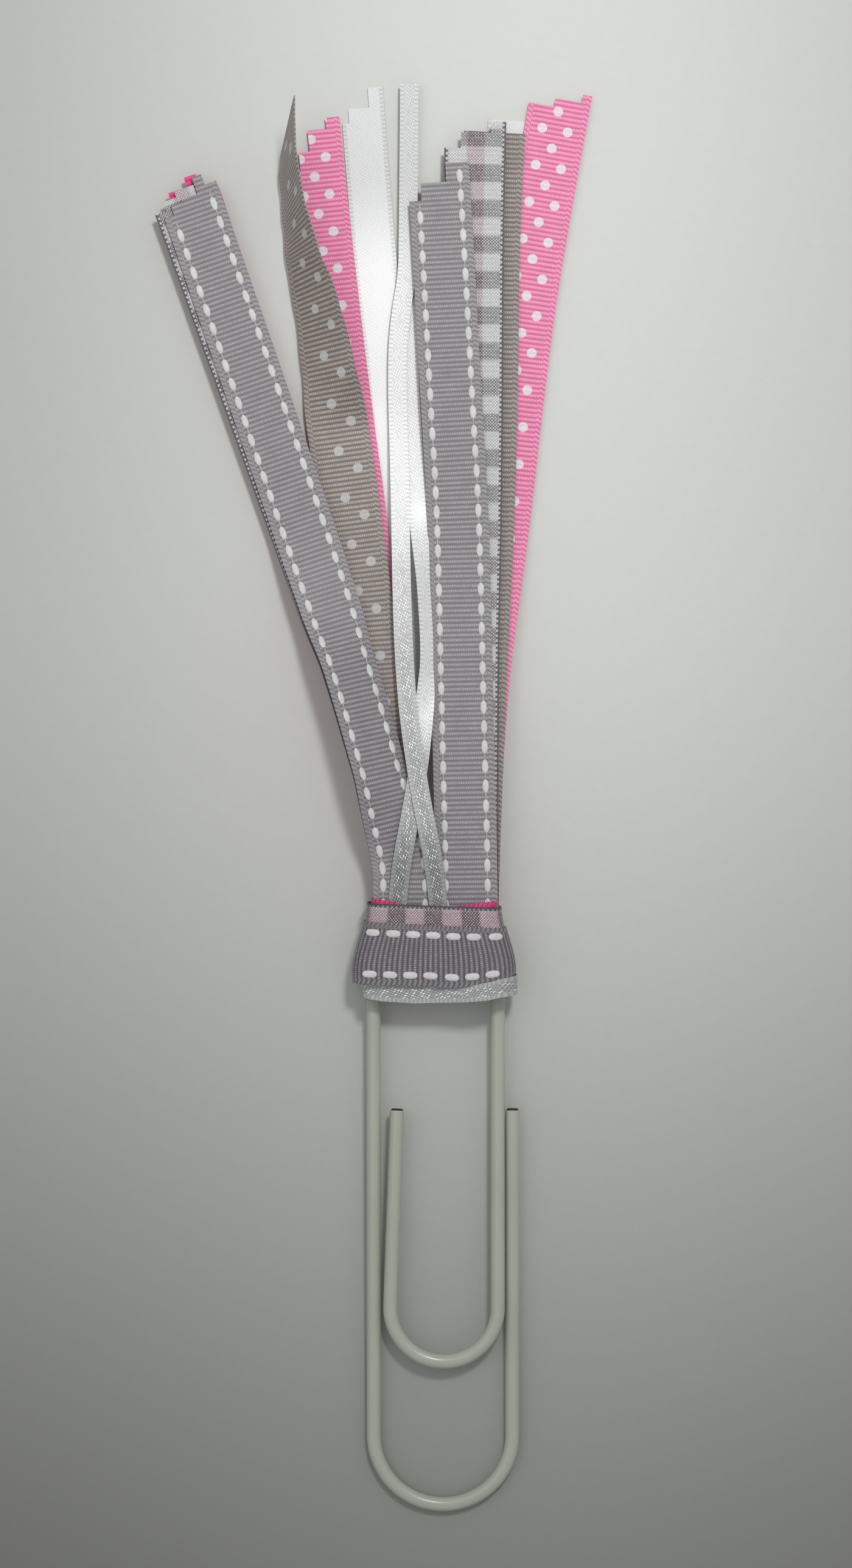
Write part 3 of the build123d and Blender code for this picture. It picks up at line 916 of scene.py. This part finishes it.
FAN_ROLLS = [(24.0, 0.0), (39.0, -33.0), (55.0, -33.0), (66.0, -14.0), (79.0, 0.0)]
TWIST_ROLLS = [(INNER_FOLD_Y, 0.0), (104.2, 32.0), (114.0, 45.0), (122.0, 57.0), (130.7, 67.0),
               (139.0, 73.0), (146.6, 76.0)]
EDGE_ROLLS = [(47.0, 0.0), (56.0, -48.0), (67.0, -48.0), (84.0, 0.0)]
OVER_FAN = [(18.0, 0.0), (30.0, 1.2), (40.0, 1.0), (56.0, 0.0), (70.0, -0.3), (98.0, -2.6)]
TAILS = [
    Tail("thin_satin", "right", 7, OUTER_FOLD_Y, RIGHT_X - (WIDE - THIN_WIDE / 2) / 2,
         [(-3.3, 37), (-5.5, 55), (-6.0, 84), (-6.6, 104), (-6.0, 112.5), (-4.8, 119), (-4.7, 125.5),
          (-4.5, 150.2)],
         THIN_WIDE, SATIN_T, lifts=OVER_FAN),
    Tail("thin_satin", "left", 6, OUTER_FOLD_Y, LEFT_X - THIN_WIDE / 2,
         [(-3.3, 36), (-2.1, 46), (-1.5, 57), (-2.2, 69), (-3.4, 84), (-4.6, 104), (-4.8, 119),
          (-4.5, 129)],
         THIN_WIDE, SATIN_T, rolls=EDGE_ROLLS, lifts=OVER_FAN),
    Tail("grey", "left", 5, OUTER_FOLD_Y, LEFT_X,
         [(LEFT_X, STRAIGHT_Y), (-9.4, 39), (-14.0, 55), (-22.2, 79), (-30.7, 104), (-39.5, 129.3)],
         reach=5.2, ends=[(0.17, 4.6), (0.36, 3.1), (0.64, 2.7), (0.8, 0.0), (1.0, 1.7)],
         rolls=FAN_ROLLS),
    Tail("grey", "right", 5, OUTER_FOLD_Y, RIGHT_X,
         [(4.0, 54), (3.5, 79), (2.4, 97), (0.9, 125), (0.5, 131.3)],
         reach=5.6, ends=[(0.2, 5.6), (0.62, 2.9), (1.0, 0.0)]),
    Tail("gingham", "left", 4, OUTER_FOLD_Y, LEFT_X,
         [(LEFT_X, STRAIGHT_Y), (-9.6, 39), (-14.3, 55), (-22.8, 79), (-31.8, 104), (-40.9, 129.5)],
         reach=3.4, ends=[(0.2, 2.4), (0.42, 0.9), (0.76, 0.0), (1.0, 1.6)], rolls=FAN_ROLLS),
    Tail("gingham", "right", 4, OUTER_FOLD_Y, RIGHT_X,
         [(5.0, 54), (5.6, 79), (5.8, 104), (5.9, 127), (6.2, 139.7)],
         reach=4.2, ends=[(0.27, 4.2), (0.76, 1.7), (1.0, 0.0)]),
    Tail("deep_pink", "left", 3, OUTER_FOLD_Y, LEFT_X,
         [(LEFT_X, STRAIGHT_Y), (-9.4, 39), (-14.0, 55), (-22.4, 79), (-31.0, 104), (-40.0, 131)],
         reach=4.0, ends=[(0.18, 4.0), (0.4, 1.4), (0.5, 2.5), (0.7, 0.0), (1.0, 3.0)],
         rolls=FAN_ROLLS),
    Tail("deep_pink", "right", 3, OUTER_FOLD_Y, RIGHT_X,
         [(4.4, 54), (4.2, 79), (3.2, 104), (2.6, 118)]),
    Tail("taupe", "left", 2, INNER_FOLD_Y, LEFT_X,
         [(LEFT_X, STRAIGHT_Y), (-8.0, 35), (-11.0, 50), (-12.1, 65), (-14.0, 79), (-16.0, INNER_FOLD_Y),
          (-17.7, 104.2), (-19.5, 114), (-22.0, 122), (-23.6, 130.7), (-24.3, 139), (-24.2, 142.3)],
         slant=8.6, rolls=TWIST_ROLLS),
    Tail("taupe", "right", 2, OUTER_FOLD_Y, RIGHT_X,
         [(6.4, 54), (7.7, 79), (8.3, 104), (8.5, 127), (9.4, 142.3)], face_down=True),
    Tail("pink", "left", 1, INNER_FOLD_Y, LEFT_X,
         [(LEFT_X, STRAIGHT_Y), (-10.2, 48), (-12.1, 65), (-13.0, 79), (-15.2, 94), (-18.6, 122),
          (-20.4, 139.5)],
         reach=5.0, ends=[(0.28, 8.0), (0.46, 5.0), (0.77, 1.6), (1.0, 0.0)]),
    Tail("pink", "right", 1, OUTER_FOLD_Y, RIGHT_X,
         [(5.5, 36), (7.0, 56), (9.8, 75), (13.0, 104), (15.5, 122), (19.7, 145.1)],
         reach=4.1, ends=[(0.42, 2.7), (0.85, 1.2), (1.0, 0.0)], print_shift=2 * RIB_PITCH),
    Tail("satin", "left", 0, INNER_FOLD_Y, LEFT_X + (WIDE - SATIN_WIDE) / 2,
         [(-6.0, 46), (-6.5, 62), (-6.6, 77), (-7.1, 93), (-8.4, 108), (-10.3, 122), (-12.0, 144.7)],
         SATIN_WIDE, SATIN_T, reach=5.0, ends=[(0.16, 5.0), (0.65, 2.4), (1.0, 0.0)]),
    Tail("satin", "right", 0, OUTER_FOLD_Y, RIGHT_X,
         [(6.0, 54), (8.6, 104), (11.9, 144.4)], SATIN_WIDE, SATIN_T),
]


# Hitch bands


@dataclass
class Band:
    """The fold of a ribbon across the hitch: its level from the inside, and both edges as (x, y).

    A right_level is the level that its right half rises to where it flaps over the others.
    """

    ribbon: str
    level: int
    low: list
    high: list
    thickness: float = RIBBON_T
    right_level: float = None


def band_section(level, thickness, y, counts):
    """A band's middle line at height y, from behind the left leg round the front to the right."""
    grow = level * STACK_PITCH + thickness / 2
    taper = smooth((y - TAPER_FROM) / TAPER_RUN)
    half = HITCH_LOW_HALF + (HITCH_TOP_HALF - HITCH_LOW_HALF) * taper + grow
    front = BAND_FRONT_Z + grow
    back = BAND_BACK_Z - grow
    r = BAND_CORNER_R + grow
    straight_back, corner, straight_side, straight_front = counts
    turn = np.linspace(0, math.pi / 2, corner, endpoint=False)
    run = np.linspace(-BACK_HALF_OPENING, -half + r, straight_back, endpoint=False)
    left = [np.column_stack([run, np.full_like(run, back)])]
    left.append(np.column_stack([-half + r - r * np.sin(turn), back + r - r * np.cos(turn)]))
    rise = np.linspace(back + r, front - r, straight_side, endpoint=False)
    left.append(np.column_stack([np.full_like(rise, -half), rise]))
    left.append(np.column_stack([-half + r - r * np.cos(turn), front - r + r * np.sin(turn)]))
    run = np.linspace(-half + r, 0, straight_front)
    left.append(np.column_stack([run, np.full_like(run, front)]))
    left = np.concatenate(left)
    right = left[-2::-1] * (-1, 1)
    narrow = LOW_LEFT_IN * (1 - smooth((y - LOW_IN_FROM) / LOW_IN_RUN))
    section = np.concatenate([left * (1 - narrow / half, 1), right])
    crown = BAND_CROWN * np.clip(1 - (section[:, 0] / half) ** 2, 0, 1)
    section[:, 1] += np.where(section[:, 1] > (front + back) / 2, crown, 0.0)
    return section + (HITCH_X, 0.0)


def band_surface(band, step):
    """The grid of a band: rows along the ribbon, columns from its upper edge to its lower one."""
    places = across_places(WIDE) / WIDE
    grow = band.level * STACK_PITCH + band.thickness / 2
    r = BAND_CORNER_R + grow
    side = BAND_FRONT_Z - BAND_BACK_Z + 2 * grow - 2 * r
    runs = (HITCH_LOW_HALF - r - BACK_HALF_OPENING + grow, math.pi / 2 * r, side,
            HITCH_LOW_HALF + grow - r)
    counts = [max(int(run / step), FEWEST_POINTS) for run in runs]
    middle_y = (band.low[0][1] + band.high[0][1]) / 2
    reference = band_section(band.level, band.thickness, middle_y, counts)
    along = distances(reference)
    low = np.interp(reference[:, 0], *zip(*band.low))
    high = np.interp(reference[:, 0], *zip(*band.high))
    surface = np.zeros((len(along), len(places), 3))
    heights = high[:, None] + (low - high)[:, None] * places[None, :]
    levels = np.unique(np.round(np.linspace(0.0, HITCH_TOP_Y + 1, SECTION_LEVELS), 3))
    sections = np.array([band_section(band.level, band.thickness, y, counts) for y in levels])
    if band.right_level:
        outer = np.array([band_section(band.right_level, band.thickness, y, counts) for y in levels])
        past = along - along[-1] / 2
        over = smooth(past / FLAP_RUN) * (1 - smooth((past - FLAP_HOLD) / FLAP_FADE))
        sections = sections + (outer - sections) * over[None, :, None]
    for i in range(len(along)):
        surface[i, :, 0] = np.interp(heights[i], levels, sections[:, i, 0])
        surface[i, :, 2] = np.interp(heights[i], levels, sections[:, i, 1])
    surface[..., 1] = heights
    return tilted(surface), along, places


def band_piece(band):
    """The cloth of a band, with its grid and the distances along it."""
    surface, along, places = band_surface(band, RIB_PITCH / ROWS_PER_RIB)
    width = NARROW.get(band.ribbon, WIDE)
    across = places * width
    uv = grid_uv(across, along)
    smooth_cloth = band.ribbon in NARROW
    relief = np.zeros(uv.shape[:2]) if smooth_cloth else rib_relief(along, across, width)
    keep = np.ones((len(along) - 1, len(places) - 1), bool)
    face, back = CLOTHS[band.ribbon]
    # A band takes the darker copy of its cloth where there is one: painted shade.
    face = SHADED_FOLD_FACES.get(band.ribbon, face)
    piece = cloth_object(f"{band.ribbon}_band", surface, uv, band.thickness, relief, keep, (face, back))
    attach(piece, "clip")
    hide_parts(f"{band.ribbon}_bight")
    return piece, surface, along


def turn_piece(band, tail, surface):
    """The fold that brings one end of a band forward through the clip to the start of its tail."""
    if tail.place == "left":
        start, beside = surface[0, ::-1], surface[1, ::-1]
    else:
        start, beside = surface[-1], surface[-2]
    grid, _, _, across = tail_surface(tail)
    spread = np.linspace(0, 1, len(start))
    end = np.stack([np.interp(spread, across / tail.width, grid[0, :, i]) for i in range(3)], axis=1)
    end[:, 2] -= TURN_UNDER
    leave = unit(start - beside) * (TURN_REACH + TURN_REACH_PER_LEVEL * band.level)
    arrive = np.array([0.0, TURN_RISE, 0.0])
    t = np.linspace(0, 1, TURN_ROWS)[:, None, None]
    fold = (1 + 2 * t) * (1 - t) ** 2 * start + t * (1 - t) ** 2 * leave
    fold = fold + t ** 2 * (3 - 2 * t) * end + t ** 2 * (t - 1) * arrive
    uv = grid_uv(tail.width * spread, distances(fold[:, len(start) // 2]))
    flat = np.zeros(uv.shape[:2])
    keep = np.ones((TURN_ROWS - 1, len(start) - 1), bool)
    name = f"{band.ribbon}_turn_{tail.place}"
    piece = cloth_object(name, fold, uv, band.thickness, flat, keep, CLOTHS[band.ribbon])
    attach(piece, "clip")
    return piece


def band_stitches(surface, along):
    """Both stitch rows of the grey band, on its front, where the thin ribbon doesn't cover them."""
    normals = surface_normals(surface)
    tangent = unit(np.gradient(surface, axis=0))
    places = across_places(WIDE)
    middle = along[-1] / 2
    pieces = []
    for k, (row, pitch) in enumerate(zip(BAND_STITCH_ROWS, BAND_STITCH_PITCHES)):
        column = int(np.argmin(np.abs(places - row)))
        count = int(middle / pitch) - 1
        wanted = middle + BAND_STITCH_SHIFTS[k] + np.arange(-count, count + 1) * pitch
        at = np.clip(np.searchsorted(along, wanted), 0, len(along) - 1)
        seen = normals[at, column, 2] > FRONT_FACING
        if k:
            seen &= surface[at, column, 0] < FLAP_X
        at = at[seen]
        up = normals[at, column]
        spots = surface[at, column] + up * (RIBBON_T / 2)
        side = np.cross(tangent[at, column], up)
        shape = (*BAND_STITCH, BLUNT_END)
        name = f"grey_stitches_band_{k + 1}"
        piece = stitches(name, (shape,), spots, tangent[at, column], side, up)
        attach(piece, "clip")
        pieces.append(piece)
    return pieces


BANDS = [
    Band("grey", 4,
         [(-13.2, 4.0), (-7.0, 3.75), (-1.5, 3.7), (3.0, 3.3), (6.2, 3.6), (9.5, 4.2), (12.2, 5.4)],
         [(-11.8, 13.9), (11.6, 12.9)]),
    Band("gingham", 3, [(-11.4, 6.8), (11.0, 6.4)], [(-11.2, 16.9), (10.9, 16.2)]),
    Band("deep_pink", 1, [(-11.0, 7.8), (11.0, 7.6)],
         [(-10.7, 17.6), (-7.5, 17.2), (-5.2, 16.2), (1.5, 15.8), (2.6, 16.4), (9.6, 17.2)]),
    Band("taupe", 2, [(-11.0, 3.8), (11.0, 4.2)], [(-11.0, 13.4), (11.0, 13.2)]),
    Band("pink", 0, [(-11.0, 7.2), (11.0, 7.2)], [(-11.0, 16.4), (11.0, 16.0)]),
    Band("satin", 0, [(-11.0, 1.3), (11.0, 1.6)], [(-11.0, 7.0), (11.0, 7.0)], SATIN_T),
    Band("thin_satin", 1,
         [(-11.4, 1.5), (-9.1, 1.1), (-3.4, 0.75), (4.0, 0.95), (8.2, 1.3), (11.5, 2.1), (12.3, 2.9)],
         [(-11.6, 4.0), (1.0, 4.0), (4.0, 3.5), (6.2, 3.8), (9.0, 4.4), (12.4, 5.5)],
         SATIN_T, FLAP_LEVEL),
]


# Clip wire


def tube(name, line, radius, material, segments=20):
    """A round wire along a line, with closed flat ends."""
    tangent = unit(np.gradient(line, axis=0))
    side = unit(np.cross(tangent, UP))
    up = np.cross(side, tangent)
    turns = np.linspace(0, 2 * math.pi, segments, endpoint=False)[None, :, None]
    ring = np.cos(turns) * side[:, None, :] + np.sin(turns) * up[:, None, :]
    points = (line[:, None, :] + radius * ring).reshape(-1, 3)
    faces = []
    for i in range(len(line) - 1):
        low, high = i * segments, (i + 1) * segments
        for j in range(segments):
            k = (j + 1) % segments
            faces.append((low + j, low + k, high + k, high + j))
    faces.append(tuple(range(segments))[::-1])
    faces.append(tuple(range((len(line) - 1) * segments, len(line) * segments)))
    made = mesh_object(name, points, faces, [material])
    made.data.set_sharp_from_angle(angle=SHARP_ANGLE)
    return made


def tongue_line():
    """Middle of the clip's inner wire, from inside the hitch to its free end."""
    centre = np.array([RIGHT_LEG_X - INNER_BEND_R, INNER_BEND_END_Y + WIRE_R + INNER_BEND_R])
    leg_y = np.linspace(TONGUE_TOP_Y, centre[1], LEG_POINTS, endpoint=False)
    leg = np.column_stack([np.full(LEG_POINTS, RIGHT_LEG_X), leg_y])
    turn = np.linspace(0, math.pi + FREE_LEG_LEAN, BEND_POINTS)
    bend_line = centre + INNER_BEND_R * np.column_stack([np.cos(turn), -np.sin(turn)])
    start = bend_line[-1]
    y = np.linspace(start[1], FREE_ENDS_Y, FREE_POINTS)[1:]
    free = np.column_stack([start[0] + (y - start[1]) * math.tan(FREE_LEG_LEAN), y])
    plan = np.concatenate([leg, bend_line, free])
    z = np.maximum(FLEX_Y - plan[:, 1], 0.0) * math.tan(TONGUE_LIFT)
    return tilted(np.column_stack([plan, z]))


def cut_tip(name, end, before, body):
    """The sheared steel nose at a cut end of the wire."""
    direction = unit(end - before)
    local, faces = bead(2 * TIP_LENGTH, 2 * TIP_R, 2 * TIP_R, TIP_BLUNT)
    side = unit(np.cross(direction, UP))
    axes = np.array([direction, side, np.cross(side, direction)])
    made = mesh_object(name, end + local @ axes, faces, [CUT_STEEL])
    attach(made, body)


def clip_pieces():
    """The clip: its solids' own materials, the tongue's wire, lifted past its flex point, and both cut
    ends.
    """
    for part in ("frame", "tongue"):
        for layer, material in (("coating", VINYL_COAT), ("core", CUT_STEEL)):
            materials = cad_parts[f"{part}_{layer}"].data.materials
            materials.clear()
            materials.append(material)
    line = tongue_line()
    wire = tube("tongue_wire", line, WIRE_R + TONGUE_SKIN, VINYL_COAT)
    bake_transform(wire)
    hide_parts("tongue_coating")
    cut_tip("tongue_cut_end", line[-1], line[-2], "clip_tongue")
    outer = tilted(np.array([[OUTER_LEG_X, FREE_ENDS_Y, 0.0], [OUTER_LEG_X, FREE_ENDS_Y - 1, 0.0]]))
    cut_tip("frame_cut_end", outer[0], outer[1], "clip")


# Set the object together


def ribbon(band):
    """A whole ribbon: its band round the clip, the folds behind it, and both tails.
    """
    fold, surface, along = band_piece(band)
    left, right = [tail for tail in TAILS if tail.ribbon == band.ribbon]
    if left.place == "right":
        left, right = right, left
    turns = [turn_piece(band, tail, surface) for tail in (left, right)]
    on_fold = turns + (band_stitches(surface, along) if band.ribbon == "grey" else [])
    for tail, extra in ((left, [fold, *on_fold]), (right, [])):
        piece, middle, length = tail_piece(tail)
        if tail.width >= WIDE:
            sewn = tail_stitches(tail) if tail.ribbon == "grey" else []


def lay_floor():
    mesh = bpy.data.meshes.new("floor")
    signs = [(-1, -1), (1, -1), (1, 1), (-1, 1)]
    corners = [(x * FLOOR_HALF, y * FLOOR_HALF, FLOOR_Z * MM) for x, y in signs]
    mesh.from_pydata(corners, [], [(0, 1, 2, 3)])
    mesh.materials.append(paper("pale_paper"))
    floor = bpy.data.objects.new("floor", mesh)
    link(floor)


def set_view():
    camera = bpy.data.cameras.new("camera")
    camera.lens = LENS
    camera.sensor_width = SENSOR
    camera.clip_start = NEAREST_SEEN
    eye = bpy.data.objects.new("camera", camera)
    eye.location = (VIEW_CENTRE[0] * MM, VIEW_CENTRE[1] * MM, VIEW_HEIGHT * MM * LENS / SENSOR)
    link(eye)
    bpy.context.scene.camera = eye


def set_light():
    for name, place, aim, size, spread, power in LAMPS:
        light = bpy.data.lights.new(name, "AREA")
        light.size = size
        light.spread = spread
        light.energy = power
        lamp = bpy.data.objects.new(name, light)
        lamp.location = place
        lamp.rotation_euler = (Vector(aim) - lamp.location).to_track_quat("-Z", "Y").to_euler()
        link(lamp)
    world = bpy.data.worlds.new("studio")
    world.use_nodes = True
    sky = world.node_tree.nodes["Background"]
    sky.inputs["Color"].default_value = SKY
    sky.inputs["Strength"].default_value = SKY_STRENGTH
    bpy.context.scene.world = world
    bpy.context.scene.view_settings.view_transform = "Standard"


clip_pieces()
for each_band in BANDS:
    ribbon(each_band)
lay_floor()
set_view()
set_light()
